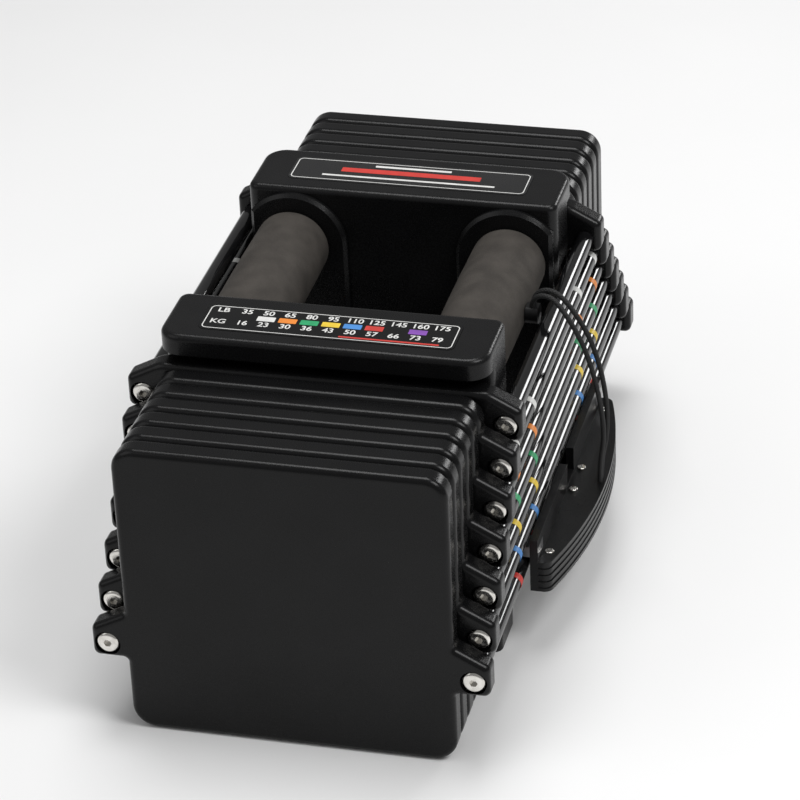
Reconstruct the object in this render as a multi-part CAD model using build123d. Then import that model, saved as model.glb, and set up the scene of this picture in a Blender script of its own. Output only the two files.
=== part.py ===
from build123d import *
import os
from math import pi, radians, tan

# Block-type adjustable dumbbell: nested weights, a core that the hand lifts, and a selector pin.
# Millimetres, +X to the right, +Y to the rear, +Z up, origin on the floor under the block's middle.

# Weight plates
weight_count = 7
plate_width = 183.0
plate_height = 178.0
plate_thickness = 14.5
plate_gap = 0.6
plate_corner = 13.0
plate_edge = 3.8

# Rails and the ears that carry them
rail_diameter = 10.0
rail_pitch = 17.5
rail_drop = 19.5
rail_offset = 10.5
rail_end_chamfer = 0.8
ear_reach = 9.0
ear_shoulder = 9.6
ear_root = 19.8
ear_foot = 9.0
ear_corner = 4.0
ear_blend = 3.0

# Colour bands, in grooves turned into the rails
band_width = 5.0
band_groove = 0.3
band_proud = 0.15
band_slack = 0.05
band_inner_y = 64.0
band_outer_y = 108.0
first_banded_weight = 2

# Plate screws
screw_diameter = 6.0
screw_hole_clearance = 0.3
screw_reach = 14.0
screw_head_diameter = 14.0
screw_head_height = 4.2
screw_head_rim = 1.2
screw_sink = 4.4
screw_sink_clearance = 0.4
screw_socket = 4.0
screw_socket_depth = 2.4
tapped_clearance = 0.1
tapped_spare = 3.0

# Core housings
hand_space = 124.0
boss_rise = 4.0
boss_border = 9.5
boss_chamfer = 2.0
housing_depth = 36.0
housing_proud = 1.0
housing_corner = 6.0
core_gap = 0.5
cap_rise = 18.5
cap_thickness = 12.0
cap_overhang = 14.0
cap_corner = 13.0
cap_edge = 3.5
boss_inset = 2.0

# Wrist tubes with their pads
wrist_tube_diameter = 32.0
wrist_border = 5.0
pad_diameter = 45.0
pad_rise = 5.9
pad_slack = 0.1
pad_end_gap = 0.3
pad_end_round = 2.0
socket_depth = 12.0
socket_clearance = 0.15

# Grip
grip_rail_index = 5
grip_bar_diameter = 25.0
grip_socket_depth = 8.0
sleeve_end_diameter = 32.0
sleeve_middle_diameter = 35.5
sleeve_slack = 0.1
sleeve_end_gap = 0.3

# Core bolts
core_bolt_diameter = 8.0
core_bolt_reach = 16.0
core_bolt_clearance = 0.25
core_bolt_head_diameter = 13.0
core_bolt_head_height = 8.0
core_bolt_sink = 9.0
core_bolt_head_clearance = 0.5
core_bolt_socket = 6.0
core_bolt_socket_depth = 4.0

# Labels on the caps
label_end_margin = 20.8
label_width = 27.7
label_thickness = 0.6
label_sink = 0.4
label_slack = 0.2
label_corner = 4.0
label_inset = 10.5

# Selector pin
pin_slot_index = 6
prong_height = 6.4
prong_width = 13.0
prong_slot_clearance = 0.3
prong_fit = 0.1
prong_tip_past_rail = 3.0
prong_tip_taper = 2.0
prong_y = 84.0
pin_half_length = 92.0
pin_rail_gap = 1.0
flange_thickness = 4.5
flange_rise = 8.8
flange_notch = 18.0
pin_grip_top = 5.3
pin_grip_height = 19.0
pin_end_reach = 11.0
pin_bow = 14.5
pin_corner = 5.0
pin_rim = 6.0
pin_recess_corner = 2.0
pin_recess = 1.2
pin_rib_count = 5
pin_rib_height = 2.0
pin_rib_depth = 0.5
pin_screw_diameter = 3.0
pin_screw_length = 8.0
pin_screw_head_diameter = 5.2
pin_screw_head_height = 1.6
pin_screw_y = (79.0, 12.0)
pin_screw_inset = 4.0
pin_screw_clearance = 0.15
pin_screw_seat_clearance = 0.3

# Lanyard and its stud
cord_diameter = 3.0
stud_y = 4.0
stud_diameter = 6.0
stud_depth = 6.0
stud_clearance = 0.15
knob_diameter = 12.0
knob_thickness = 7.4
knob_gap = 0.3
knob_flat = 5.0

# Share of a run that a rounded corner may take
corner_share = 0.45

# Derived places
housing_width = plate_width + 2 * housing_proud
wrist_spacing = housing_width - pad_diameter - 2 * wrist_border
label_length = housing_width - 2 * label_end_margin
housing_inner_y = hand_space / 2 + boss_rise
housing_outer_y = housing_inner_y + housing_depth
first_plate_y = housing_outer_y + core_gap
plate_pitch = plate_thickness + plate_gap
rail_x = plate_width / 2 + rail_offset
cap_top = plate_height + cap_rise
wrist_z = plate_height + pad_rise - pad_diameter / 2
pin_inner_x = rail_x + rail_diameter / 2 + pin_rail_gap
pull_clear_x = rail_x + rail_diameter / 2 + prong_tip_past_rail


def rail_z(level):
    """Height of a weight's rails above the floor."""
    return plate_height - rail_drop - (level - 1) * rail_pitch


def plate_inner_y(level):
    """Distance of a plate's inner face from the block's middle."""
    return first_plate_y + (level - 1) * plate_pitch


def slot_z(level):
    """Height of the pin slot just below a weight's rails."""
    return rail_z(level) - rail_pitch / 2


prong_z = slot_z(pin_slot_index)
grip_z = rail_z(grip_rail_index)
pin_top_z = prong_z - pin_grip_top


def along_y(x, y, z, direction):
    """Plane at a point whose normal runs along Y, 1 to the rear and -1 to the front."""
    return Plane(origin=(x, y, z), x_dir=(1, 0, 0), z_dir=(0, direction, 0))


def save(node, shape):
    """Write one node's solids to its own file."""
    export_step(shape, os.path.join("parts", node + ".step"))


def rear_of(shape):
    """Mirror a front piece to the rear."""
    return mirror(shape, Plane.XZ)


# Weights

def plate_outline(level):
    """Rounded plate with an ear on each side, around that weight's screws."""
    half = plate_width / 2
    screw_z = rail_z(level)
    tip_x = rail_x + ear_reach
    root_z = screw_z + ear_root
    slope = (ear_root - ear_shoulder) / (tip_x - half)
    if root_z > plate_height - plate_corner - ear_blend:
        side = [(half + (root_z - plate_height) / slope, plate_height, plate_corner)]
    else:
        side = [(half, plate_height, plate_corner), (half, root_z, ear_blend)]
    side += [
        (tip_x, screw_z + ear_shoulder, ear_corner),
        (tip_x, screw_z - ear_foot, ear_corner),
        (half, screw_z - ear_foot, ear_blend),
        (half, 0, plate_corner),
    ]
    other_side = [(-x, z, radius) for x, z, radius in reversed(side)]
    points = [(x, z) for x, z, radius in side + other_side]
    radii = [radius for x, z, radius in side + other_side]
    return make_face(FilletPolyline(*points, radius=radii, close=True))


def front_plate(level):
    """Front plate of a weight, with rounded edges and a counterbored hole for each of its screws."""
    inner_y = plate_inner_y(level)
    plate = extrude(along_y(0, -inner_y, 0, -1) * plate_outline(level), plate_thickness)
    faces = plate.faces().sort_by(Axis.Y)
    plate = fillet(faces[0].edges() + faces[-1].edges(), plate_edge)
    hole = Cylinder(screw_diameter / 2 + screw_hole_clearance, 3 * plate_thickness)
    sink = Cylinder(screw_head_diameter / 2 + screw_sink_clearance, 2 * screw_sink)
    for x in (-rail_x, rail_x):
        plate -= along_y(x, -inner_y, rail_z(level), -1) * hole
        plate -= along_y(x, -inner_y - plate_thickness, rail_z(level), -1) * sink
    return plate


def rail(level, x):
    """Round rail between a weight's plates, tapped at both ends and grooved for its bands."""
    length = 2 * plate_inner_y(level)
    body = chamfer(Cylinder(rail_diameter / 2, length).edges(), rail_end_chamfer)
    depth = screw_reach + tapped_spare
    bore = Cylinder(screw_diameter / 2 + tapped_clearance, depth)
    for end in (-1, 1):
        body -= Pos(0, 0, end * (length - depth) / 2) * bore
    if level >= first_banded_weight:
        groove = Cylinder(rail_diameter, band_width) - Cylinder(rail_diameter / 2 - band_groove, band_width)
        for y in band_places():
            body -= Pos(0, 0, y) * groove
    return along_y(x, 0, rail_z(level), 1) * body


def band_places():
    """Places of the four bands along a rail."""
    return (-band_outer_y, -band_inner_y, band_inner_y, band_outer_y)


def rail_bands(level):
    """The eight colour bands of one weight."""
    ring = Cylinder(rail_diameter / 2 + band_proud, band_width - 2 * band_slack)
    ring -= Cylinder(rail_diameter / 2 - band_groove + band_slack, band_width)
    return Compound([
        along_y(x, y, rail_z(level), 1) * ring for x in (-rail_x, rail_x) for y in band_places()
    ])


def button_screw():
    """Button-head socket screw along +Z, with its head's seat at zero."""
    head = Pos(0, 0, screw_head_height / 2) * Cylinder(screw_head_diameter / 2, screw_head_height)
    head = fillet(head.edges().sort_by(Axis.Z)[-1:], screw_head_height - screw_head_rim)
    socket = extrude(RegularPolygon(screw_socket / 2, 6, major_radius=False), screw_head_height)
    head -= Pos(0, 0, screw_head_height - screw_socket_depth) * socket
    length = plate_thickness - screw_sink + screw_reach
    return head + Pos(0, 0, -length / 2) * Cylinder(screw_diameter / 2, length)


def plate_screws(level):
    """The four screws of one weight, with their heads sunk in its plates' outer faces."""
    seat_y = plate_inner_y(level) + plate_thickness - screw_sink
    screw = button_screw()
    return Compound([
        along_y(x, side * seat_y, rail_z(level), side) * screw for x in (-rail_x, rail_x) for side in (-1, 1)
    ])


# Core

def rounded_plan(x_half, y_near, y_far, near_corner, far_corner):
    """Plan outline of a front housing piece, from its inner side to its outer side."""
    points = [(-x_half, -y_near), (x_half, -y_near), (x_half, -y_far), (-x_half, -y_far)]
    radii = [near_corner, near_corner, far_corner, far_corner]
    return make_face(FilletPolyline(*points, radius=radii, close=True))


def tube_bosses():
    """Arched bosses on the housing's inner wall, around the wrist tubes."""
    reach = pad_diameter / 2 + boss_border
    depth = boss_rise + 2 * cap_edge
    wall = Pos(0, wrist_z / 2) * Rectangle(housing_width - 2 * boss_inset, wrist_z)
    crown = Pos(0, cap_top / 2) * Rectangle(housing_width - 2 * boss_inset, cap_top - cap_edge)
    bosses = Part()
    for x in (-wrist_spacing / 2, wrist_spacing / 2):
        pillar = Pos(x, wrist_z / 2) * Rectangle(2 * reach, wrist_z)
        arch = (Pos(x, wrist_z) * Circle(reach)) & crown
        outline = arch + (pillar & wall)
        boss = extrude(along_y(0, -hand_space / 2, 0, -1) * outline, depth)
        rim = boss.faces().sort_by(Axis.Y)[-1].edges()
        bosses += chamfer(rim, boss_chamfer)
    return bosses


def core_bolt_places():
    """Places of a housing's bolts: both wrist tubes, then the grip bar."""
    half = wrist_spacing / 2
    return [(-half, wrist_z, socket_end_y()), (half, wrist_z, socket_end_y()), (0, grip_z, grip_end_y())]


def socket_end_y():
    """Distance from the middle to the ends of the wrist tubes."""
    return hand_space / 2 + socket_depth


def grip_end_y():
    """Distance from the middle to the ends of the grip bar."""
    return housing_inner_y + grip_socket_depth


def front_housing():
    """Front housing: block, overhanging cap, tube bosses, sockets, bolt holes, pin slots, label pocket."""
    half = housing_width / 2
    block = extrude(
        rounded_plan(half, housing_inner_y, housing_outer_y, housing_corner, housing_corner),
        cap_top - cap_thickness,
    )
    cap = extrude(
        rounded_plan(half, housing_inner_y, housing_outer_y + cap_overhang, housing_corner, cap_corner),
        cap_thickness,
    )
    cap = fillet(cap.faces().sort_by(Axis.Z)[-1].edges(), cap_edge)
    body = block + Pos(0, 0, cap_top - cap_thickness) * cap + tube_bosses()
    for x, z, end_y in core_bolt_places():
        if x:
            radius = wrist_tube_diameter / 2 + socket_clearance
        else:
            radius = grip_bar_diameter / 2 + socket_clearance
        body -= along_y(x, -end_y / 2, z, 1) * Cylinder(radius, end_y)
        body -= along_y(x, -housing_outer_y, z, 1) * Cylinder(
            core_bolt_diameter / 2 + core_bolt_clearance, 2 * housing_depth
        )
        body -= along_y(x, -housing_outer_y, z, 1) * Cylinder(
            (core_bolt_head_diameter + core_bolt_head_clearance) / 2, 2 * core_bolt_sink
        )
    slot = Box(2 * housing_width, prong_width + 2 * prong_slot_clearance, prong_height + 2 * prong_slot_clearance)
    for level in range(1, weight_count + 1):
        body -= Pos(0, -prong_y, slot_z(level)) * slot
    pocket = label_plan(label_slack)
    return body - Pos(0, 0, cap_top - label_sink) * extrude(pocket, cap_thickness)


def label_plan(margin):
    """Plan outline of the front label, grown by a margin."""
    far_y = housing_outer_y + cap_overhang - label_inset
    centre_y = far_y - label_width / 2
    return Pos(0, -centre_y) * RectangleRounded(
        label_length + 2 * margin, label_width + 2 * margin, label_corner + margin
    )


def front_label():
    """Thin label plate in the cap's pocket."""
    return Pos(0, 0, cap_top - label_sink) * extrude(label_plan(0), label_thickness)


def tapped_bar(diameter, end_y):
    """Round bar along Z with a tapped hole in each end."""
    bar = Cylinder(diameter / 2, 2 * end_y)
    depth = core_bolt_reach + tapped_spare
    for end in (-1, 1):
        bar -= Pos(0, 0, end * (end_y - depth / 2)) * Cylinder(core_bolt_diameter / 2 + tapped_clearance, depth)
    return bar


def stud_hole(radius):
    """Radial hole for the lanyard stud, through the right wrist tube's outer side."""
    inner_x = (wrist_spacing + wrist_tube_diameter) / 2 - stud_depth
    length = pad_diameter
    return Pos(inner_x + length / 2, stud_y, wrist_z) * Rot(0, 90, 0) * Cylinder(radius, length)


def wrist_tube(x):
    """Steel wrist tube; the right one is drilled for the lanyard stud."""
    tube = along_y(x, 0, wrist_z, 1) * tapped_bar(wrist_tube_diameter, socket_end_y())
    if x > 0:
        tube -= stud_hole(stud_diameter / 2 + stud_clearance)
    return tube


def wrist_pad(x):
    """Foam pad around a wrist tube, between the bosses."""
    length = hand_space - 2 * pad_end_gap
    pad = fillet(Cylinder(pad_diameter / 2, length).edges(), pad_end_round)
    pad -= Cylinder(wrist_tube_diameter / 2 + pad_slack, length)
    pad = along_y(x, 0, wrist_z, 1) * pad
    if x > 0:
        pad -= stud_hole(stud_diameter / 2 + stud_clearance)
    return pad


def grip_bar():
    """Steel bar inside the hand grip."""
    return along_y(0, 0, grip_z, 1) * tapped_bar(grip_bar_diameter, grip_end_y())


def grip_sleeve():
    """Barrel-shaped rubber sleeve around the grip bar."""
    half = housing_inner_y - sleeve_end_gap
    bore = grip_bar_diameter / 2 + sleeve_slack
    profile = make_face(
        Polyline((sleeve_end_diameter / 2, half), (bore, half), (bore, -half), (sleeve_end_diameter / 2, -half))
        + ThreePointArc(
            (sleeve_end_diameter / 2, -half), (sleeve_middle_diameter / 2, 0), (sleeve_end_diameter / 2, half)
        )
    )
    return along_y(0, 0, grip_z, 1) * revolve(Plane.XZ * profile, Axis.Z)


def cap_screw(length):
    """Socket cap screw along +Z, with its head's seat at zero."""
    screw = Pos(0, 0, core_bolt_head_height / 2) * Cylinder(core_bolt_head_diameter / 2, core_bolt_head_height)
    screw += Pos(0, 0, -length / 2) * Cylinder(core_bolt_diameter / 2, length)
    socket = extrude(RegularPolygon(core_bolt_socket / 2, 6, major_radius=False), core_bolt_head_height)
    return screw - Pos(0, 0, core_bolt_head_height - core_bolt_socket_depth) * socket


def core_bolts():
    """The six bolts that draw the housings onto the tubes and the bar."""
    seat_y = housing_outer_y - core_bolt_sink
    return Compound([
        along_y(x, side * seat_y, z, side) * cap_screw(seat_y - end_y + core_bolt_reach)
        for x, z, end_y in core_bolt_places()
        for side in (-1, 1)
    ])


def lanyard_stud():
    """Stud in the right wrist tube, with a flat-topped knob that holds the lanyard."""
    inner_x = (wrist_spacing + wrist_tube_diameter) / 2 - stud_depth
    knob_x = (wrist_spacing + pad_diameter) / 2 + knob_gap
    shank = Pos((inner_x + knob_x) / 2, stud_y, wrist_z) * Rot(0, 90, 0) * Cylinder(
        stud_diameter / 2, knob_x - inner_x
    )
    knob = Pos(knob_x + knob_thickness / 2, stud_y, wrist_z) * Rot(0, 90, 0) * Cylinder(
        knob_diameter / 2, knob_thickness
    )
    top = Pos(knob_x, stud_y, wrist_z + knob_flat + knob_diameter / 2) * Box(
        4 * knob_thickness, 2 * knob_diameter, knob_diameter
    )
    return shank + knob - top


# Selector pin

def grip_plan(inset, corner):
    """Bowed plan outline of the pin's grip, drawn in by an inset on its ends and its outer side."""
    end_x = pin_inner_x + pin_end_reach - inset
    half = pin_half_length - inset
    outline = make_face(
        Polyline((end_x, half), (pin_inner_x, half), (pin_inner_x, -half), (end_x, -half))
        + ThreePointArc((end_x, -half), (end_x + pin_bow, 0), (end_x, half))
    )
    corners = outline.vertices().sort_by(Axis.X)[-2:]
    return fillet(corners, min(corner, corner_share * (pin_end_reach - inset)))


def pin_handle():
    """Pin handle: ribbed bowed grip and the flange that holds both prongs."""
    bottom_z = pin_top_z - pin_grip_height
    handle = Pos(0, 0, bottom_z) * extrude(grip_plan(pin_rib_depth, pin_corner), pin_grip_height)
    rib = extrude(grip_plan(0, pin_corner), pin_rib_height)
    step = (pin_grip_height - pin_rib_height) / (pin_rib_count - 1)
    for index in range(pin_rib_count):
        handle += Pos(0, 0, bottom_z + index * step) * rib
    recess = grip_plan(pin_rim, pin_recess_corner)
    handle -= Pos(0, 0, pin_top_z - pin_recess) * extrude(recess, pin_grip_height)
    top_z = prong_z + flange_rise
    flange = Box(flange_thickness, 2 * pin_half_length, top_z - bottom_z)
    flange -= Pos(0, 0, (top_z - bottom_z) / 2) * Box(
        2 * flange_thickness, flange_notch, 2 * (top_z - pin_top_z)
    )
    handle += Pos(pin_inner_x + flange_thickness / 2, 0, (top_z + bottom_z) / 2) * flange
    slot = Box(4 * flange_thickness, prong_width + 2 * prong_fit, prong_height + 2 * prong_fit)
    hole = Cylinder(pin_screw_diameter / 2 + pin_screw_clearance, 2 * pin_screw_length)
    seat = Cylinder(pin_screw_head_diameter / 2 + pin_screw_seat_clearance, 2 * pin_recess)
    for side in (-1, 1):
        handle -= Pos(pin_inner_x, side * prong_y, prong_z) * slot
        for y in pin_screw_y:
            handle -= Pos(pin_screw_x(), side * y, pin_top_z - pin_recess) * hole
            handle -= Pos(pin_screw_x(), side * y, pin_top_z) * seat
    return handle


def pin_screw_x():
    """Distance of the pin's screws from the block's middle."""
    return pin_inner_x + flange_thickness + pin_screw_inset


def front_prong():
    """Flat steel prong through the front housing, with a tapered tip."""
    root_x = pin_inner_x + flange_thickness
    length = root_x + pull_clear_x
    prong = Box(length, prong_width, prong_height)
    tip = prong.faces().sort_by(Axis.X)[0].edges()
    return Pos(root_x - length / 2, -prong_y, prong_z) * chamfer(tip, prong_tip_taper)


def pin_screws():
    """The four small screws in the grip's recess."""
    head = Pos(0, 0, pin_screw_head_height / 2) * Cylinder(pin_screw_head_diameter / 2, pin_screw_head_height)
    screw = fillet(head.edges().sort_by(Axis.Z)[-1:], pin_screw_head_height / 3)
    screw += Pos(0, 0, -pin_screw_length / 2) * Cylinder(pin_screw_diameter / 2, pin_screw_length)
    seat_z = pin_top_z - pin_recess
    return Compound([
        Pos(pin_screw_x(), side * y, seat_z) * screw for side in (-1, 1) for y in pin_screw_y
    ])


# Lanyard: hand-chosen points from the stud's flat, over the top rail and down to the grip's rim
front_strand_points = [
    (91.5, 1.8, 166.4), (91.5, 1.8, 169.1), (94.0, 0.8, 173.5), (98.4, -0.9, 176.0), (103.6, -2.9, 176.0),
    (108.2, -4.9, 173.2), (114.6, -7.0, 165.4), (122.2, -8.6, 152.4), (128.2, -7.8, 133.2),
    (132.0, -5.6, 109.8), (133.4, -3.6, 88.6), (130.2, -2.2, 69.6), (130.2, -2.2, 57.2),
]
rear_strand_points = [
    (91.5, 6.2, 166.4), (91.5, 6.2, 169.3), (94.2, 5.4, 174.1), (98.9, 4.0, 177.0), (104.4, 2.2, 177.2),
    (109.7, 0.6, 174.6), (117.0, -1.2, 166.4), (125.4, -2.4, 152.6), (131.4, -1.8, 132.6),
    (134.4, -0.2, 109.4), (134.2, 1.4, 88.4), (130.2, 2.2, 69.6), (130.2, 2.2, 57.2),
]


def strand(points):
    """Round strand whose corners are as wide as their runs allow."""
    places = [Vector(*point) for point in points]
    runs = [after - before for before, after in zip(places, places[1:])]
    radii = []
    for before, after in zip(runs, runs[1:]):
        turn = radians(before.get_angle(after))
        radii.append(corner_share * min(before.length, after.length) / tan(turn / 2))
    path = FilletPolyline(*points, radius=radii)
    tube = sweep(Plane(origin=places[0], z_dir=runs[0]) * Circle(cord_diameter / 2), path=path)
    section = pi * cord_diameter**2 / 4
    print("strand radii", [round(radius, 1) for radius in radii])
    print("strand length", round(path.length, 1), "volume ratio", round(tube.volume / (section * path.length), 4))
    return tube


os.makedirs("parts", exist_ok=True)
for number in range(1, weight_count + 1):
    plate = front_plate(number)
    save(f"front_plate_{number}", plate)
    save(f"rear_plate_{number}", rear_of(plate))
    save(f"left_rail_{number}", rail(number, -rail_x))
    save(f"right_rail_{number}", rail(number, rail_x))
    save(f"plate_screws_{number}", plate_screws(number))
    if number >= first_banded_weight:
        save(f"rail_bands_{number}", rail_bands(number))

housing = front_housing()
save("front_housing", housing)
save("rear_housing", rear_of(housing))
save("chart_label", front_label())
save("rear_label", rear_of(front_label()))
for name, x in (("left", -wrist_spacing / 2), ("right", wrist_spacing / 2)):
    save(f"{name}_wrist_tube", wrist_tube(x))
    save(f"{name}_wrist_pad", wrist_pad(x))
save("grip_bar", grip_bar())
save("grip_sleeve", grip_sleeve())
save("core_bolts", core_bolts())
save("lanyard_stud", lanyard_stud())

save("pin_handle", pin_handle())
save("front_prong", front_prong())
save("rear_prong", rear_of(front_prong()))
save("pin_screws", pin_screws())
save("front_lanyard_strand", strand(front_strand_points))
save("rear_lanyard_strand", strand(rear_strand_points))
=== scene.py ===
"""Looks of a block-type adjustable dumbbell: finishes, foam pads, lanyard and printed labels."""

import logging
import math
from dataclasses import dataclass, field, replace
from enum import Enum

import bmesh
import bpy
from mathutils import Matrix, Vector


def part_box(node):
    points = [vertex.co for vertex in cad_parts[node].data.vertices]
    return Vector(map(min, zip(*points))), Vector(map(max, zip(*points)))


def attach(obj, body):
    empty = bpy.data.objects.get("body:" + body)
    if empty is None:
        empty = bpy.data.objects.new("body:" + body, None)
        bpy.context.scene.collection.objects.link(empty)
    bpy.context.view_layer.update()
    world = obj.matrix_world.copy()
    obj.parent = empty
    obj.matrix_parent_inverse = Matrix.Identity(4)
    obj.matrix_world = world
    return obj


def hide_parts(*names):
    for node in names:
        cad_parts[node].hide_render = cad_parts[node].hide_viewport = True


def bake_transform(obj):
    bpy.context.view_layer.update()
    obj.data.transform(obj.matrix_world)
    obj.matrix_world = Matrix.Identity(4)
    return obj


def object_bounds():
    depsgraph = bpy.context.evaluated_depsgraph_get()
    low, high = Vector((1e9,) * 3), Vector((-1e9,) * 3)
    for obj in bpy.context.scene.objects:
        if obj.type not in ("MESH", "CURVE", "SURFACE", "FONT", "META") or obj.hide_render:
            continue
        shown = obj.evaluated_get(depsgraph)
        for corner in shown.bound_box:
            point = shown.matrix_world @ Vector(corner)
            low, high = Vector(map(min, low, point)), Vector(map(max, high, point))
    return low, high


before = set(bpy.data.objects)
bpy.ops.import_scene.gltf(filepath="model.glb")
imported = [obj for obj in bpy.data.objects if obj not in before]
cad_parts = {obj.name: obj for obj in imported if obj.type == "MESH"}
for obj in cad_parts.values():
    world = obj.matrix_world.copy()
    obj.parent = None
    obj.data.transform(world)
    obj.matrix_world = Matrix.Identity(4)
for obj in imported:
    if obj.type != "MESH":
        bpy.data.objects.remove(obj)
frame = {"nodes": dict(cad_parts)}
CAD_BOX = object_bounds()

LOG = logging.getLogger("dumbbell")
MM = 0.001
FULL_TURN = 2 * math.pi
QUARTER_TURN = FULL_TURN / 4
SEAM_DISTANCE = 0.001 * MM

Colour = tuple[float, float, float]
Point = tuple[float, float, float]
Span = tuple[float, float]


class Ink(Enum):
    """Colours of the rail bands and of the printed labels."""

    WHITE = (0.72, 0.72, 0.70)
    ORANGE = (0.78, 0.24, 0.03)
    GREEN = (0.02, 0.34, 0.13)
    YELLOW = (0.78, 0.55, 0.04)
    BLUE = (0.06, 0.24, 0.60)
    RED = (0.56, 0.04, 0.03)
    PURPLE = (0.22, 0.07, 0.40)


class Piece(Enum):
    """Groups of solids that share one finish, by the starts of their names."""

    PLATE = ("front_plate_", "rear_plate_")
    RAIL = ("left_rail_", "right_rail_")
    SCREW = ("plate_screws_", "pin_screws")
    HOUSING = ("front_housing", "rear_housing")
    CHART = ("chart_label",)
    PANEL = ("rear_label",)
    BAR = ("left_wrist_tube", "right_wrist_tube", "grip_bar")
    PRONG = ("front_prong", "rear_prong")
    SLEEVE = ("grip_sleeve",)
    BOLT = ("core_bolts",)
    PIN = ("pin_handle", "lanyard_stud")


@dataclass(frozen=True)
class Finish:
    """A surface whose colour, gloss and relief vary with a fine grain and a broad mottling.

    Scales are per metre and depths in metres. A band is the span of noise values that a
    variation runs over.
    """

    name: str
    colour: Colour
    mottle_colour: Colour
    roughness: Span
    grain_scale: float
    grain_depth: float
    grain_strength: float = 0.35
    grain_octaves: float = 4.0
    grain_band: Span = (0.3, 0.7)
    mottle_scale: float = 28.0
    mottle_octaves: float = 6.0
    mottle_band: Span = (0.35, 0.68)
    stretch: Point = (1.0, 1.0, 1.0)
    metallic: float = 0.0
    specular: float = 0.5

    def material(self) -> bpy.types.Material:
        """Build the finish's node material, once.

        Returns:
            The material, from an earlier call where there was one.
        """
        known = bpy.data.materials.get(self.name)
        if known:
            return known
        material = bpy.data.materials.new(self.name)
        material.use_nodes = True
        tree = material.node_tree
        surface = tree.nodes["Principled BSDF"]
        surface.inputs["Metallic"].default_value = self.metallic
        surface.inputs["Specular IOR Level"].default_value = self.specular
        place = tree.nodes.new("ShaderNodeTexCoord").outputs["Object"]
        mapping = tree.nodes.new("ShaderNodeMapping")
        mapping.inputs["Scale"].default_value = self.stretch
        tree.links.new(place, mapping.inputs["Vector"])
        drawn = mapping.outputs["Vector"]
        grain = self._noise(tree, drawn, self.grain_scale, self.grain_octaves)
        mottle = self._noise(tree, place, self.mottle_scale, self.mottle_octaves)
        tree.links.new(self._tint(tree, mottle), surface.inputs["Base Color"])
        tree.links.new(self._gloss(tree, grain), surface.inputs["Roughness"])
        tree.links.new(self._relief(tree, grain), surface.inputs["Normal"])
        return material

    @staticmethod
    def _noise(
        tree: bpy.types.NodeTree, place: bpy.types.NodeSocket, scale: float, octaves: float
    ) -> bpy.types.NodeSocket:
        """Add a noise texture.

        Args:
            tree: the material's node tree.
            place: the coordinates that the noise reads.
            scale: its scale, per metre.
            octaves: how many octaves it has.

        Returns:
            The noise's value.
        """
        noise = tree.nodes.new("ShaderNodeTexNoise")
        noise.inputs["Scale"].default_value = scale
        noise.inputs["Detail"].default_value = octaves
        tree.links.new(place, noise.inputs["Vector"])
        return noise.outputs["Fac"]

    def _tint(
        self, tree: bpy.types.NodeTree, mottle: bpy.types.NodeSocket
    ) -> bpy.types.NodeSocket:
        """Add the colour, which the mottling varies.

        Args:
            tree: the material's node tree.
            mottle: the mottling's value.

        Returns:
            The colour.
        """
        tint = tree.nodes.new("ShaderNodeValToRGB")
        colours = (self.colour, self.mottle_colour)
        for stop, edge, colour in zip(tint.color_ramp.elements, self.mottle_band, colours):
            stop.position = edge
            stop.color = (*colour, 1.0)
        tree.links.new(mottle, tint.inputs["Fac"])
        return tint.outputs["Color"]

    def _gloss(
        self, tree: bpy.types.NodeTree, grain: bpy.types.NodeSocket
    ) -> bpy.types.NodeSocket:
        """Add the roughness, which the grain varies.

        Args:
            tree: the material's node tree.
            grain: the grain's value.

        Returns:
            The roughness.
        """
        gloss = tree.nodes.new("ShaderNodeMapRange")
        for kind, span in (("From", self.grain_band), ("To", self.roughness)):
            for end, limit in zip(("Min", "Max"), span):
                gloss.inputs[f"{kind} {end}"].default_value = limit
        tree.links.new(grain, gloss.inputs["Value"])
        return gloss.outputs["Result"]

    def _relief(
        self, tree: bpy.types.NodeTree, grain: bpy.types.NodeSocket
    ) -> bpy.types.NodeSocket:
        """Add the grain's relief.

        Args:
            tree: the material's node tree.
            grain: the grain's value.

        Returns:
            The normal.
        """
        relief = tree.nodes.new("ShaderNodeBump")
        relief.inputs["Strength"].default_value = self.grain_strength
        relief.inputs["Distance"].default_value = self.grain_depth
        tree.links.new(grain, relief.inputs["Height"])
        return relief.outputs["Normal"]


PLATE_COAT = Finish(
    "satin_plate_coat",
    colour=(0.0036, 0.0036, 0.0038),
    mottle_colour=(0.0054, 0.0054, 0.0057),
    roughness=(0.20, 0.30),
    grain_scale=1500.0,
    grain_depth=0.05 * MM,
    specular=0.20,
)
RAIL_PAINT = Finish(
    "gloss_rail_paint",
    colour=(0.0040, 0.0040, 0.0043),
    mottle_colour=(0.0065, 0.0065, 0.0068),
    roughness=(0.05, 0.11),
    grain_scale=700.0,
    grain_depth=0.02 * MM,
    grain_strength=0.15,
    specular=0.6,
)
SCREW_NICKEL = Finish(
    "bright_screw_nickel",
    colour=(0.80, 0.78, 0.74),
    mottle_colour=(0.64, 0.62, 0.58),
    roughness=(0.12, 0.26),
    grain_scale=1200.0,
    grain_depth=0.02 * MM,
    grain_strength=0.2,
    mottle_scale=300.0,
    metallic=1.0,
)
HOUSING_SHELL = Finish(
    "grained_housing_shell",
    colour=(0.0045, 0.0045, 0.0048),
    mottle_colour=(0.0070, 0.0070, 0.0073),
    roughness=(0.22, 0.34),
    grain_scale=1100.0,
    grain_depth=0.10 * MM,
    grain_strength=0.5,
    specular=0.20,
)
CHART_FILM = Finish(
    "black_label_film",
    colour=(0.0040, 0.0040, 0.0042),
    mottle_colour=(0.0060, 0.0060, 0.0062),
    roughness=(0.20, 0.30),
    grain_scale=900.0,
    grain_depth=0.02 * MM,
    specular=0.25,
)
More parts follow.
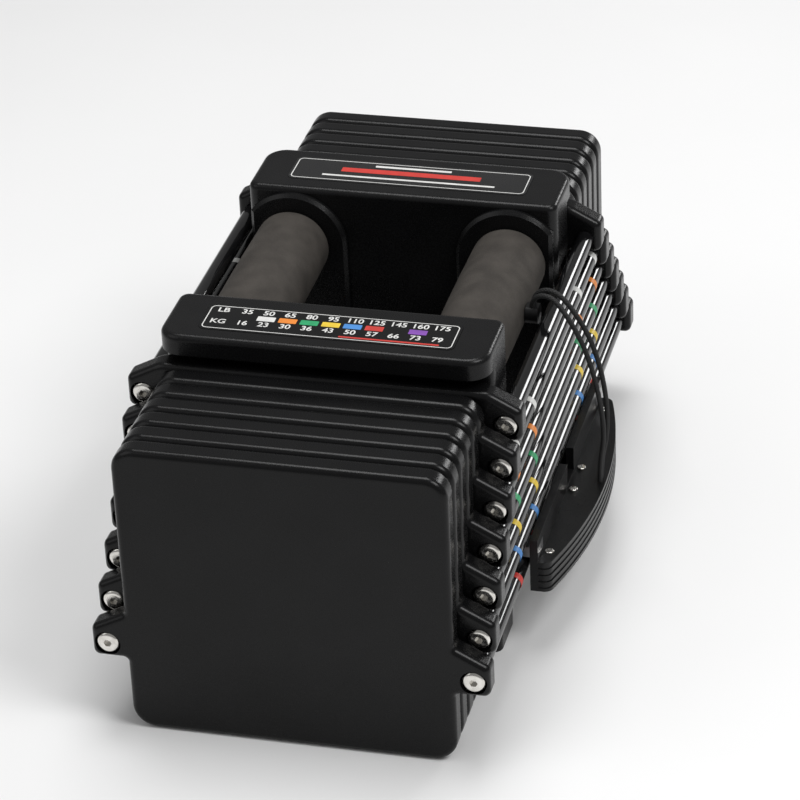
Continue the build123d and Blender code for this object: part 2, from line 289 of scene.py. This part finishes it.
PANEL_FILM = Finish(
    "grey_panel_film",
    colour=(0.0110, 0.0110, 0.0115),
    mottle_colour=(0.0150, 0.0150, 0.0155),
    roughness=(0.24, 0.34),
    grain_scale=900.0,
    grain_depth=0.02 * MM,
    specular=0.4,
)
BAR_STEEL = Finish(
    "brushed_bar_steel",
    colour=(0.55, 0.55, 0.56),
    mottle_colour=(0.46, 0.46, 0.47),
    roughness=(0.26, 0.42),
    grain_scale=1400.0,
    grain_depth=0.03 * MM,
    stretch=(1.0, 0.03, 1.0),
    metallic=1.0,
)
PRONG_STEEL = replace(BAR_STEEL, name="brushed_prong_steel", stretch=(0.03, 1.0, 1.0))
PAD_FOAM = Finish(
    "worn_pad_foam",
    colour=(0.037, 0.0328, 0.0288),
    mottle_colour=(0.056, 0.0498, 0.0438),
    roughness=(0.78, 0.95),
    grain_scale=1300.0,
    grain_depth=0.35 * MM,
    grain_strength=0.6,
    mottle_scale=75.0,
    specular=0.25,
)
SLEEVE_RUBBER = Finish(
    "grip_sleeve_rubber",
    colour=(0.0090, 0.0090, 0.0090),
    mottle_colour=(0.0140, 0.0140, 0.0140),
    roughness=(0.60, 0.78),
    grain_scale=1500.0,
    grain_depth=0.12 * MM,
    grain_strength=0.5,
)
BOLT_OXIDE = Finish(
    "black_bolt_oxide",
    colour=(0.035, 0.035, 0.037),
    mottle_colour=(0.050, 0.050, 0.052),
    roughness=(0.34, 0.50),
    grain_scale=900.0,
    grain_depth=0.03 * MM,
    metallic=0.7,
)
PIN_SHELL = Finish(
    "satin_pin_shell",
    colour=(0.0050, 0.0050, 0.0053),
    mottle_colour=(0.0080, 0.0080, 0.0083),
    roughness=(0.26, 0.38),
    grain_scale=1600.0,
    grain_depth=0.05 * MM,
    specular=0.28,
)
CORD_COVER = Finish(
    "black_cord_cover",
    colour=(0.0050, 0.0050, 0.0050),
    mottle_colour=(0.0090, 0.0090, 0.0090),
    roughness=(0.50, 0.70),
    grain_scale=2500.0,
    grain_depth=0.04 * MM,
    grain_strength=0.4,
    mottle_scale=400.0,
)
FLOOR_PAPER = Finish(
    "pale_floor_paper",
    colour=(0.80, 0.80, 0.80),
    mottle_colour=(0.83, 0.83, 0.83),
    roughness=(0.80, 0.90),
    grain_scale=300.0,
    grain_depth=0.05 * MM,
    grain_strength=0.1,
    mottle_scale=2.0,
    specular=0.2,
)

SOLID_FINISHES = {
    Piece.PLATE: PLATE_COAT,
    Piece.RAIL: RAIL_PAINT,
    Piece.SCREW: SCREW_NICKEL,
    Piece.HOUSING: HOUSING_SHELL,
    Piece.CHART: CHART_FILM,
    Piece.PANEL: PANEL_FILM,
    Piece.BAR: BAR_STEEL,
    Piece.PRONG: PRONG_STEEL,
    Piece.SLEEVE: SLEEVE_RUBBER,
    Piece.BOLT: BOLT_OXIDE,
    Piece.PIN: PIN_SHELL,
}
BAND_INKS = {
    2: Ink.WHITE,
    3: Ink.ORANGE,
    4: Ink.GREEN,
    5: Ink.YELLOW,
    6: Ink.BLUE,
    7: Ink.RED,
}
WORN_INK = 0.82


def ink_finish(ink: Ink, kind: str) -> Finish:
    """Finish of a coloured band or of printed ink.

    Args:
        ink: the colour.
        kind: what is coloured, which goes into the finish's name.

    Returns:
        The finish.
    """
    red, green, blue = ink.value
    return Finish(
        f"{ink.name.lower()}_{kind}",
        colour=ink.value,
        mottle_colour=(WORN_INK * red, WORN_INK * green, WORN_INK * blue),
        roughness=(0.38, 0.52),
        grain_scale=900.0,
        grain_depth=0.04 * MM,
        mottle_scale=160.0,
    )


def corners(node: str) -> tuple[Vector, Vector]:
    """Lowest and highest corner of a solid's box."""
    low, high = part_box(node)
    return Vector(low), Vector(high)


def linked_object(name: str, data: bpy.types.ID) -> bpy.types.Object:
    """Make an object of some data and link it into the scene.

    Args:
        name: the object's name.
        data: a mesh, curve, lamp or camera.

    Returns:
        The object.
    """
    holder = bpy.data.objects.new(name, data)
    bpy.context.scene.collection.objects.link(holder)
    return holder


def add_object(
    name: str, mesh: bpy.types.Mesh, finish: Finish, smooth: bool
) -> bpy.types.Object:
    """Put a mesh into the scene, at the origin, with its finish.

    Args:
        name: the piece's name.
        mesh: its mesh, in the part's frame.
        finish: its finish.
        smooth: True where its faces are shaded smoothly.

    Returns:
        The new object.
    """
    mesh.name = name
    mesh.materials.clear()
    mesh.materials.append(finish.material())
    mesh.polygons.foreach_set("use_smooth", [smooth] * len(mesh.polygons))
    piece = linked_object(name, mesh)
    LOG.info("built %s with %d faces", name, len(mesh.polygons))
    return piece


def mesh_of(name: str, bm: bmesh.types.BMesh) -> bpy.types.Mesh:
    """Close a bmesh's seams, turn its faces outwards and make it a mesh.

    Args:
        name: the mesh's name.
        bm: the bmesh, which is freed.

    Returns:
        The mesh.
    """
    bmesh.ops.remove_doubles(bm, verts=bm.verts, dist=SEAM_DISTANCE)
    bmesh.ops.recalc_face_normals(bm, faces=bm.faces)
    mesh = bpy.data.meshes.new(name)
    bm.to_mesh(mesh)
    bm.free()
    return mesh


def evaluated_mesh(source: bpy.types.Object) -> bpy.types.Mesh:
    """Turn a mesh, curve or text with its modifiers into a plain mesh, and remove its object.

    Args:
        source: the object.

    Returns:
        The mesh.
    """
    bpy.context.view_layer.update()
    depsgraph = bpy.context.evaluated_depsgraph_get()
    mesh = bpy.data.meshes.new_from_object(source.evaluated_get(depsgraph))
    bpy.data.objects.remove(source)
    return mesh


@dataclass
class NodeTreeBuilder:
    """A Geometry Nodes tree with named inputs, under construction."""

    name: str
    tree: bpy.types.NodeTree = field(init=False)
    inputs: bpy.types.Node = field(init=False)

    def __post_init__(self) -> None:
        """Start the tree with a geometry input and a geometry output."""
        self.tree = bpy.data.node_groups.new(self.name, "GeometryNodeTree")
        for way in ("INPUT", "OUTPUT"):
            self.tree.interface.new_socket(
                "Geometry", in_out=way, socket_type="NodeSocketGeometry"
            )
        self.inputs = self.tree.nodes.new("NodeGroupInput")

    def value(self, name: str, kind: str = "NodeSocketFloat") -> bpy.types.NodeSocket:
        """Add a named input.

        Args:
            name: the input's name.
            kind: its socket type.

        Returns:
            The input's socket inside the tree.
        """
        self.tree.interface.new_socket(name, in_out="INPUT", socket_type=kind)
        return self.inputs.outputs[name]

    def node(
        self, kind: str, links: dict[str | int, object] | None = None, **settings: object
    ) -> bpy.types.Node:
        """Add a node.

        Args:
            kind: the node's type.
            links: for each input, by name or index, a socket to link or a value to set.
            settings: properties of the node.

        Returns:
            The node.
        """
        node = self.tree.nodes.new(kind)
        for key, setting in settings.items():
            setattr(node, key, setting)
        for key, source in (links or {}).items():
            if isinstance(source, bpy.types.NodeSocket):
                self.tree.links.new(source, node.inputs[key])
            else:
                node.inputs[key].default_value = source
        return node

    def maths(self, operation: str, *values: object) -> bpy.types.NodeSocket:
        """Add a Math node on some sockets or numbers, and return its result."""
        links = dict(enumerate(values))
        return self.node("ShaderNodeMath", links, operation=operation).outputs[0]

    def vector(self, operation: str, links: dict[str | int, object]) -> bpy.types.NodeSocket:
        """Add a Vector Math node with the given inputs, and return its result."""
        return self.node("ShaderNodeVectorMath", links, operation=operation).outputs[0]

    def circle(self, sides: int, radius: object) -> bpy.types.NodeSocket:
        """Add a circle of some sides, and return its curve."""
        sizes = {"Resolution": sides, "Radius": radius}
        return self.node("GeometryNodeCurvePrimitiveCircle", sizes).outputs[0]

    def sweep(
        self, line: bpy.types.NodeSocket, profile: bpy.types.NodeSocket, capped: bool
    ) -> bpy.types.NodeSocket:
        """Sweep a profile along a line.

        Args:
            line: the curve to follow.
            profile: the section's curve.
            capped: True where the ends are closed.

        Returns:
            The swept mesh.
        """
        links = {"Curve": line, "Profile Curve": profile, "Fill Caps": capped}
        return self.node("GeometryNodeCurveToMesh", links).outputs[0]

    def finish(self, geometry: bpy.types.NodeSocket, look: Finish) -> None:
        """End the tree with real geometry in the given finish.

        Args:
            geometry: the socket of the finished geometry.
            look: its finish.
        """
        real = self.node("GeometryNodeRealizeInstances", {"Geometry": geometry}).outputs[0]
        dressed = self.node(
            "GeometryNodeSetMaterial", {"Geometry": real, "Material": look.material()}
        )
        end = self.tree.nodes.new("NodeGroupOutput")
        self.tree.links.new(dressed.outputs[0], end.inputs[0])

    def run(self, base: bpy.types.Mesh, sizes: dict[str, float]) -> bpy.types.Mesh:
        """Run the tree on a base mesh.

        Args:
            base: the mesh that enters the tree.
            sizes: the value of each named input.

        Returns:
            The finished mesh.
        """
        holder = linked_object(self.name, base)
        modifier = holder.modifiers.new(self.name, "NODES")
        modifier.node_group = self.tree
        for item in self.tree.interface.items_tree:
            if item.in_out == "INPUT" and item.name in sizes:
                modifier[item.identifier] = sizes[item.name]
        return evaluated_mesh(holder)


@dataclass
class Solids:
    """Dresses the fixed solids in their finishes."""

    nodes: dict[str, bpy.types.Object]

    def dress(self) -> None:
        """Give each solid the finish of its group, and each set of bands its own colour."""
        for piece, finish in SOLID_FINISHES.items():
            for name, solid in self.nodes.items():
                if name.startswith(piece.value):
                    self._paint(solid, finish)
        for level, ink in BAND_INKS.items():
            self._paint(self.nodes[f"rail_bands_{level}"], ink_finish(ink, "rail_band"))

    @staticmethod
    def _paint(solid: bpy.types.Object, finish: Finish) -> None:
        """Replace a solid's materials with one finish.

        Args:
            solid: the solid's object.
            finish: its finish.
        """
        solid.data.materials.clear()
        solid.data.materials.append(finish.material())
        LOG.info("dressed %s in %s", solid.name, finish.name)


@dataclass
class WristPad:
    """A worn foam pad around one wrist tube."""

    node: str
    tube: str
    bore_slack: float = 0.1 * MM
    crown: float = 0.5 * MM
    end_round: float = 2.4 * MM
    end_steps: int = 5
    rows: int = 90
    sides: int = 128
    dent: float = 0.14 * MM
    dent_turns: tuple[int, int] = (3, 2)
    dent_waves: Span = (90.0, 140.0)

    def build(self) -> bpy.types.Object:
        """Model the pad as a crowned, slightly dented tube in place of its solid.

        Returns:
            The pad.
        """
        low, high = corners(self.node)
        tube_low, tube_high = corners(self.tube)
        centre = (low + high) / 2
        outer = (high.z - low.z) / 2
        bore = (tube_high.z - tube_low.z) / 2 + self.bore_slack
        bm = bmesh.new()
        rings = []
        for radius, along in self._profile(outer, bore, (high.y - low.y) / 2):
            ring = []
            for side in range(self.sides):
                angle = FULL_TURN * side / self.sides
                reach = radius + (self._dent_at(angle, along) if radius > bore else 0.0)
                place = Vector((reach * math.cos(angle), along, reach * math.sin(angle)))
                ring.append(bm.verts.new(centre + place))
            rings.append(ring)
        for ring, after in zip(rings, rings[1:] + rings[:1]):
            for side in range(self.sides):
                other = (side + 1) % self.sides
                bm.faces.new((ring[side], ring[other], after[other], after[side]))
        pad = add_object(f"{self.node}_foam", mesh_of(self.node, bm), PAD_FOAM, True)
        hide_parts(self.node)
        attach(pad, "core")
        return pad

    def _profile(self, outer: float, bore: float, half: float) -> list[tuple[float, float]]:
        """Half section of the pad.

        Args:
            outer: the pad's greatest radius.
            bore: the radius of its bore.
            half: half its length.

        Returns:
            Radius and place along the tube of each point, from one end of the bore round to
            the other.
        """
        flat = half - self.end_round
        rim = outer - self.crown
        end = []
        for step in range(self.end_steps):
            angle = QUARTER_TURN * step / self.end_steps
            radius = rim - self.end_round * (1 - math.sin(angle))
            end.append((radius, flat + self.end_round * math.cos(angle)))
        barrel = []
        for row in range(self.rows + 1):
            along = -flat + 2 * flat * row / self.rows
            barrel.append((rim + self.crown * (1 - (along / flat) ** 2), along))
        start = [(radius, -along) for radius, along in end]
        return [(bore, -half), *start, *barrel, *reversed(end), (bore, half)]

    def _dent_at(self, angle: float, along: float) -> float:
        """Depth of the foam's wear at a place, from slow waves round and along it.

        Args:
            angle: the place's angle round the tube.
            along: its place along the tube, in metres.

        Returns:
            The change of radius, which is never outwards.
        """
        wave = 1.0
        for turns, waves in zip(self.dent_turns, self.dent_waves):
            wave *= math.sin(turns * angle + waves * along)
        return -self.dent * (0.5 + 0.5 * wave)


@dataclass
class GripRings:
    """Moulded rings on the rubber grip sleeve."""

    count: int = 37
    ring_radius: float = 0.7 * MM
    ring_sink: float = 0.4 * MM
    end_margin: float = 5.0 * MM
    end_radius: float = 16.0 * MM
    sides: int = 72
    profile_sides: int = 8

    def build(self) -> bpy.types.Object:
        """Lay the rings along the sleeve's barrel.

        Returns:
            The rings.
        """
        low, high = corners("grip_sleeve")
        half = (high.y - low.y) / 2
        sizes = {
            "Count": self.count,
            "Half length": half - self.end_margin,
            "Barrel length": half,
            "End radius": self.end_radius - self.ring_sink,
            "Middle radius": (high.z - low.z) / 2 - self.ring_sink,
            "Ring radius": self.ring_radius,
            "Height": (low.z + high.z) / 2,
        }
        mesh = self._tree().run(bpy.data.meshes.new("ring_base"), sizes)
        rings = add_object("grip_sleeve_rings", mesh, SLEEVE_RUBBER, True)
        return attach(rings, "core")

    def _tree(self) -> NodeTreeBuilder:
        """Tree that sets circles on a line, widens them to the barrel and sweeps a section.

        Returns:
            The finished tree.
        """
        build = NodeTreeBuilder("grip_ring_row")
        count = build.value("Count", "NodeSocketInt")
        half = build.value("Half length")
        barrel = build.value("Barrel length")
        end = build.value("End radius")
        middle = build.value("Middle radius")
        section = build.value("Ring radius")
        height = build.value("Height")
        first_y = build.maths("MULTIPLY", half, -1.0)
        start = build.node("ShaderNodeCombineXYZ", {"Y": first_y, "Z": height})
        gaps = build.maths("SUBTRACT", count, 1.0)
        step = build.maths("DIVIDE", build.maths("MULTIPLY", half, 2.0), gaps)
        stride = build.node("ShaderNodeCombineXYZ", {"Y": step})
        line = build.node(
            "GeometryNodeMeshLine",
            {"Count": count, "Start Location": start.outputs[0], "Offset": stride.outputs[0]},
            mode="OFFSET",
        )
        place = build.node("GeometryNodeInputPosition").outputs[0]
        along = build.node("ShaderNodeSeparateXYZ", {0: place}).outputs["Y"]
        out = build.maths("ABSOLUTE", build.maths("DIVIDE", along, barrel))
        fall = build.maths("SUBTRACT", 1.0, build.maths("POWER", out, 2.0))
        swell = build.maths("MULTIPLY", build.maths("SUBTRACT", middle, end), fall)
        radius = build.maths("ADD", end, swell)
        widths = build.node("ShaderNodeCombineXYZ", {0: radius, 1: radius, 2: radius})
        rings = build.node(
            "GeometryNodeInstanceOnPoints",
            {
                "Points": line.outputs[0],
                "Instance": build.circle(self.sides, 1.0),
                "Rotation": (QUARTER_TURN, 0.0, 0.0),
                "Scale": widths.outputs[0],
            },
        )
        loose = build.node("GeometryNodeRealizeInstances", {"Geometry": rings.outputs[0]})
        profile = build.circle(self.profile_sides, section)
        build.finish(build.sweep(loose.outputs[0], profile, False), SLEEVE_RUBBER)
        return build


@dataclass
class Strand:
    """One strand of the lanyard, a core with crossed yarns over it. Its route is in mm."""

    node: str
    route: tuple[Point, ...]
    diameter: float = 3.0 * MM
    yarn_radius: float = 0.3 * MM
    yarns_each_way: int = 5
    turns: float = 16.0
    core_sides: int = 20
    yarn_sides: int = 6
    spline_order: int = 3
    spline_steps: int = 24

    def build(self) -> bpy.types.Object:
        """Lay the strand along its route, from the stud to the pin.

        Returns:
            The strand.
        """
        path = self._path()
        base = bpy.data.meshes.new(f"{self.node}_path")
        base.from_pydata(path, [(index, index + 1) for index in range(len(path) - 1)], [])
        sizes = {
            "Lay radius": self.diameter / 2 - self.yarn_radius,
            "Yarn radius": self.yarn_radius,
            "Turns": self.turns,
        }
        mesh = self._tree().run(base, sizes)
        strand = add_object(f"{self.node}_cover", mesh, CORD_COVER, True)
        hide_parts(self.node)
        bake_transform(strand)
        return strand

    def _path(self) -> list[Vector]:
        """Points along the smooth line that the route's points control.

        Returns:
            The points, in metres.
        """
        curve = bpy.data.curves.new(f"{self.node}_line", "CURVE")
        curve.dimensions = "3D"
        curve.resolution_u = self.spline_steps
        spline = curve.splines.new("NURBS")
        spline.points.add(len(self.route) - 1)
        for point, (x, y, z) in zip(spline.points, self.route):
            point.co = (x * MM, y * MM, z * MM, 1.0)
        spline.order_u = self.spline_order
        spline.use_endpoint_u = True
        line = linked_object(curve.name, curve)
        return [vertex.co.copy() for vertex in evaluated_mesh(line).vertices]

    def _tree(self) -> NodeTreeBuilder:
        """Tree that sweeps the core and winds yarns round it both ways.

        Returns:
            The finished tree.
        """
        build = NodeTreeBuilder(f"{self.node}_winding")
        lay = build.value("Lay radius")
        thickness = build.value("Yarn radius")
        turns = build.value("Turns")
        path = build.inputs.outputs["Geometry"]
        line = build.node("GeometryNodeMeshToCurve", {"Mesh": path}).outputs[0]
        joined = build.node("GeometryNodeJoinGeometry")
        core = build.sweep(line, build.circle(self.core_sides, lay), True)
        build.tree.links.new(core, joined.inputs[0])
        yarn = build.circle(self.yarn_sides, thickness)
        factor = build.node("GeometryNodeSplineParameter").outputs["Factor"]
        wound = build.maths("MULTIPLY", build.maths("MULTIPLY", factor, turns), FULL_TURN)
        across = build.node("GeometryNodeInputNormal").outputs[0]
        tangent = build.node("GeometryNodeInputTangent").outputs[0]
        axes = {"COSINE": across, "SINE": build.vector("CROSS_PRODUCT", {0: tangent, 1: across})}
        for way in (-1.0, 1.0):
            for index in range(self.yarns_each_way):
                first = FULL_TURN * index / self.yarns_each_way
                angle = build.maths("MULTIPLY_ADD", wound, way, first)
                parts = []
                for wave, axis in axes.items():
                    reach = build.maths("MULTIPLY", build.maths(wave, angle), lay)
                    parts.append(build.vector("SCALE", {0: axis, "Scale": reach}))
                shift = build.vector("ADD", dict(enumerate(parts)))
                moved = build.node(
                    "GeometryNodeSetPosition", {"Geometry": line, "Offset": shift}
                )
                swept = build.sweep(moved.outputs[0], yarn, True)
                build.tree.links.new(swept, joined.inputs[0])
        build.finish(joined.outputs[0], CORD_COVER)
        return build


@dataclass
class LabelPrint:
    """Thin raised ink on one label of the core."""

    label: str
    ink_thickness: float = 0.06 * MM
    border_inset: float = 1.5 * MM
    border_width: float = 0.55 * MM
    border_corner: float = 3.0 * MM
    slab_corner: float = 0.5 * MM
    corner_steps: int = 8

    def middle(self) -> Vector:
        """Middle of the label's upper face."""
        low, high = corners(self.label)
        return Vector(((low.x + high.x) / 2, (low.y + high.y) / 2, high.z))

    def add(self, name: str, bm: bmesh.types.BMesh, ink: Ink) -> None:
        """Add one printed piece, which rides on the core.

        Args:
            name: the piece's name.
            bm: its bmesh, which is freed.
            ink: its colour.
        """
        piece = add_object(name, mesh_of(name, bm), ink_finish(ink, "chart_ink"), False)
        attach(piece, "core")

    def add_slab(
        self, name: str, x: float, y: float, width: float, height: float, ink: Ink
    ) -> None:
        """Add a corner-rounded slab of ink.

        Args:
            name: the piece's name.
            x: its middle, to the right of the label's.
            y: its middle, above the label's.
            width: its size along X.
            height: its size along Y.
            ink: its colour.
        """
        bm = bmesh.new()
        centre = self.middle() + Vector((x, y, 0))
        outline = self._outline(centre, width, height, self.slab_corner)
        face = bm.faces.new([bm.verts.new(point) for point in outline])
        self._raise(bm, [face])
        self.add(name, bm, ink)

    def draw_border(self, bm: bmesh.types.BMesh) -> None:
        """Draw the thin line that runs round the label, inside its edge.

        Args:
            bm: the bmesh that takes the line.
        """
        low, high = corners(self.label)
        loops = []
        for inset in (0.0, self.border_width):
            margin = 2 * (self.border_inset + inset)
            outline = self._outline(
                self.middle(),
                high.x - low.x - margin,
                high.y - low.y - margin,
                self.border_corner - inset,
            )
            loops.append([bm.verts.new(point) for point in outline])
        outer, inner = loops
        faces = []
        for index in range(len(outer)):
            after = (index + 1) % len(outer)
            ring_part = (outer[index], outer[after], inner[after], inner[index])
            faces.append(bm.faces.new(ring_part))
        self._raise(bm, faces)

    def _outline(self, centre: Vector, width: float, height: float, corner: float) -> list[Vector]:
        """Corner-rounded outline on the label's face.

        Args:
            centre: its middle.
            width: its size along X.
            height: its size along Y.
            corner: its corners' radius.

        Returns:
            Its points, anticlockwise.
        """
        points = []
        for quarter, (side, end) in enumerate(((1, 1), (-1, 1), (-1, -1), (1, -1))):
            reach = Vector((side * (width / 2 - corner), end * (height / 2 - corner), 0))
            for step in range(self.corner_steps + 1):
                angle = QUARTER_TURN * (quarter + step / self.corner_steps)
                round_off = corner * Vector((math.cos(angle), math.sin(angle), 0))
                points.append(centre + reach + round_off)
        return points

    def _raise(self, bm: bmesh.types.BMesh, faces: list[bmesh.types.BMFace]) -> None:
        """Give flat faces the ink's thickness.

        Args:
            bm: the bmesh that holds them.
            faces: the faces.
        """
        raised = bmesh.ops.extrude_face_region(bm, geom=faces, use_keep_orig=True)
        tops = [item for item in raised["geom"] if isinstance(item, bmesh.types.BMVert)]
        bmesh.ops.translate(bm, verts=tops, vec=(0, 0, self.ink_thickness))


@dataclass(frozen=True)
class Column:
    """One column of the chart: a weight in two units, with its colour chip."""

    pounds: int
    kilograms: int
    chip: Ink | None = None


@dataclass
class ChartPrint(LabelPrint):
    """The chart on the front label: two rows of plain numbers, with chips between and a rule."""

    label: str = "chart_label"
    figure_size: float = 6.5 * MM
    figure_weight: float = 0.11 * MM
    unit_x: float = -62.5 * MM
    first_x: float = -49.0 * MM
    column_pitch: float = 12.2 * MM
    upper_row: float = 8.0 * MM
    lower_row: float = -4.6 * MM
    chip_row: float = 1.8 * MM
    chip_width: float = 10.2 * MM
    chip_height: float = 5.0 * MM
    rule_x: float = 35.0 * MM
    rule_row: float = -10.0 * MM
    rule_width: float = 56.0 * MM
    rule_height: float = 1.5 * MM
    columns: tuple[Column, ...] = (
        Column(35, 16),
        Column(50, 23, Ink.WHITE),
        Column(65, 30, Ink.ORANGE),
        Column(80, 36, Ink.GREEN),
        Column(95, 43, Ink.YELLOW),
        Column(110, 50, Ink.BLUE),
        Column(125, 57, Ink.RED),
        Column(145, 66),
        Column(160, 73, Ink.PURPLE),
        Column(175, 79),
    )

    def build(self) -> None:
        """Print the chips, the figures with their border, and the rule."""
        figures = bmesh.new()
        self.draw_border(figures)
        self._draw_figure(figures, "LB", self.unit_x, self.upper_row)
        self._draw_figure(figures, "KG", self.unit_x, self.lower_row)
        for number, column in enumerate(self.columns):
            x = self.first_x + number * self.column_pitch
            self._draw_figure(figures, str(column.pounds), x, self.upper_row)
            self._draw_figure(figures, str(column.kilograms), x, self.lower_row)
            if column.chip:
                name = f"chart_chip_{column.chip.name.lower()}"
                self.add_slab(
                    name, x, self.chip_row, self.chip_width, self.chip_height, column.chip
                )
        self.add("chart_figures", figures, Ink.WHITE)
        self.add_slab(
            "chart_rule", self.rule_x, self.rule_row, self.rule_width, self.rule_height, Ink.RED
        )

    def _draw_figure(self, bm: bmesh.types.BMesh, words: str, x: float, y: float) -> None:
        """Draw a number or a unit, as a thin closed relief.

        Args:
            bm: the bmesh that takes the relief.
            words: what is printed.
            x: its middle, to the right of the label's.
            y: its middle, above the label's.
        """
        curve = bpy.data.curves.new("figure", "FONT")
        curve.body = words
        curve.size = self.figure_size
        curve.align_x = "CENTER"
        curve.align_y = "CENTER"
        curve.offset = self.figure_weight
        curve.extrude = self.ink_thickness / 2
        mesh = evaluated_mesh(linked_object("figure", curve))
        place = self.middle() + Vector((x, y, self.ink_thickness / 2))
        mesh.transform(Matrix.Translation(place))
        bm.from_mesh(mesh)
        bpy.data.meshes.remove(mesh)


@dataclass(frozen=True)
class Stripe:
    """One plain stripe of the rear label, centred on it."""

    row: float
    width: float
    height: float
    ink: Ink


@dataclass
class PanelPrint(LabelPrint):
    """The border and the plain stripes on the rear label."""

    label: str = "rear_label"
    stripes: tuple[Stripe, ...] = (
        Stripe(8.2 * MM, 46.0 * MM, 2.2 * MM, Ink.WHITE),
        Stripe(1.6 * MM, 84.0 * MM, 5.2 * MM, Ink.RED),
        Stripe(-6.4 * MM, 104.0 * MM, 1.8 * MM, Ink.WHITE),
    )

    def build(self) -> None:
        """Print the border, then the stripes from the upper one down."""
        border = bmesh.new()
        self.draw_border(border)
        self.add("rear_panel_border", border, Ink.WHITE)
        for number, stripe in enumerate(self.stripes, 1):
            name = f"rear_panel_stripe_{number}"
            self.add_slab(name, 0.0, stripe.row, stripe.width, stripe.height, stripe.ink)


@dataclass(frozen=True)
class Lamp:
    """A square area lamp, with its size in metres and its power in watts."""

    name: str
    place: Point
    size: float
    power: float

    def build(self, target: Vector) -> None:
        """Hang the lamp and aim it.

        Args:
            target: the point that it is aimed at.
        """
        lamp = bpy.data.lights.new(self.name, "AREA")
        lamp.size = self.size
        lamp.energy = self.power
        holder = linked_object(self.name, lamp)
        holder.location = self.place
        aim = target - Vector(self.place)
        holder.rotation_euler = aim.to_track_quat("-Z", "Y").to_euler()


@dataclass
class Studio:
    """Floor, lamps, world and camera."""

    camera_place: Point = (0.4719, -1.6905, 1.1285)
    camera_up: Point = (-0.1077, 0.5684, 0.8157)
    sensor: float = 36.0
    lens: float = 158.0
    floor_half: float = 8.0
    floor_z: float = -0.2 * MM
    ambient: float = 0.27
    lamps: tuple[Lamp, ...] = (
        Lamp("key_lamp", (1.3, -0.5, 1.9), 0.9, 24.0),
        Lamp("top_lamp", (-0.1, 0.3, 2.2), 1.1, 27.0),
        Lamp("fill_lamp", (-1.4, -1.0, 1.4), 1.4, 6.0),
        Lamp("rear_lamp", (1.1, 2.0, 0.9), 0.5, 9.0),
    )

    def build(self) -> None:
        """Set up the floor, the lamps, the world, the camera and the view."""
        low, high = (Vector(corner) for corner in CAD_BOX)
        target = (low + high) / 2
        self._floor()
        for lamp in self.lamps:
            lamp.build(target)
        self._world()
        self._camera(target)
        bpy.context.scene.view_settings.view_transform = "Standard"

    def _floor(self) -> None:
        """Lay the pale floor."""
        half = self.floor_half
        ends = ((-half, -half), (half, -half), (half, half), (-half, half))
        mesh = bpy.data.meshes.new("floor")
        mesh.from_pydata([(x, y, self.floor_z) for x, y in ends], [], [(0, 1, 2, 3)])
        add_object("floor", mesh, FLOOR_PAPER, False)

    def _world(self) -> None:
        """Make the surroundings an even pale grey."""
        world = bpy.data.worlds.new("pale_room")
        world.use_nodes = True
        bpy.context.scene.world = world
        background = world.node_tree.nodes["Background"]
        background.inputs["Color"].default_value = (1.0, 1.0, 1.0, 1.0)
        background.inputs["Strength"].default_value = self.ambient

    def _camera(self, target: Vector) -> None:
        """Aim the camera at the object from the photograph's viewing angle.

        Args:
            target: the middle of the object.
        """
        place = Vector(self.camera_place)
        back = (place - target).normalized()
        right = Vector(self.camera_up).cross(back).normalized()
        up = back.cross(right)
        lens = bpy.data.cameras.new("camera")
        lens.sensor_fit = "HORIZONTAL"
        lens.sensor_width = self.sensor
        lens.lens = self.lens
        camera = linked_object("camera", lens)
        turned = Matrix((right, up, back)).transposed().to_4x4()
        camera.matrix_world = Matrix.Translation(place) @ turned
        bpy.context.scene.camera = camera


FRONT_ROUTE: tuple[Point, ...] = (
    (91.5, 1.8, 166.4),
    (91.5, 1.8, 169.1),
    (94.0, 0.8, 173.5),
    (98.4, -0.9, 176.0),
    (103.6, -2.9, 176.0),
    (108.2, -4.9, 173.2),
    (114.6, -7.0, 165.4),
    (122.2, -8.6, 152.4),
    (128.2, -7.8, 133.2),
    (132.0, -5.6, 109.8),
    (133.4, -3.6, 88.6),
    (130.2, -2.2, 69.6),
    (130.2, -2.2, 57.2),
)
REAR_ROUTE: tuple[Point, ...] = (
    (91.5, 6.2, 166.4),
    (91.5, 6.2, 169.3),
    (94.2, 5.4, 174.1),
    (98.9, 4.0, 177.0),
    (104.4, 2.2, 177.2),
    (109.7, 0.6, 174.6),
    (117.0, -1.2, 166.4),
    (125.4, -2.4, 152.6),
    (131.4, -1.8, 132.6),
    (134.4, -0.2, 109.4),
    (134.2, 1.4, 88.4),
    (130.2, 2.2, 69.6),
    (130.2, 2.2, 57.2),
)


def main() -> None:
    """Dress the solids, add the soft pieces and the printing, and set up the studio."""
    logging.basicConfig(level=logging.INFO)
    Solids(frame["nodes"]).dress()
    for side in ("left", "right"):
        WristPad(f"{side}_wrist_pad", f"{side}_wrist_tube").build()
    GripRings().build()
    Strand("front_lanyard_strand", FRONT_ROUTE).build()
    Strand("rear_lanyard_strand", REAR_ROUTE).build()
    ChartPrint().build()
    PanelPrint().build()
    Studio().build()


if __name__ == "__main__":
    main()
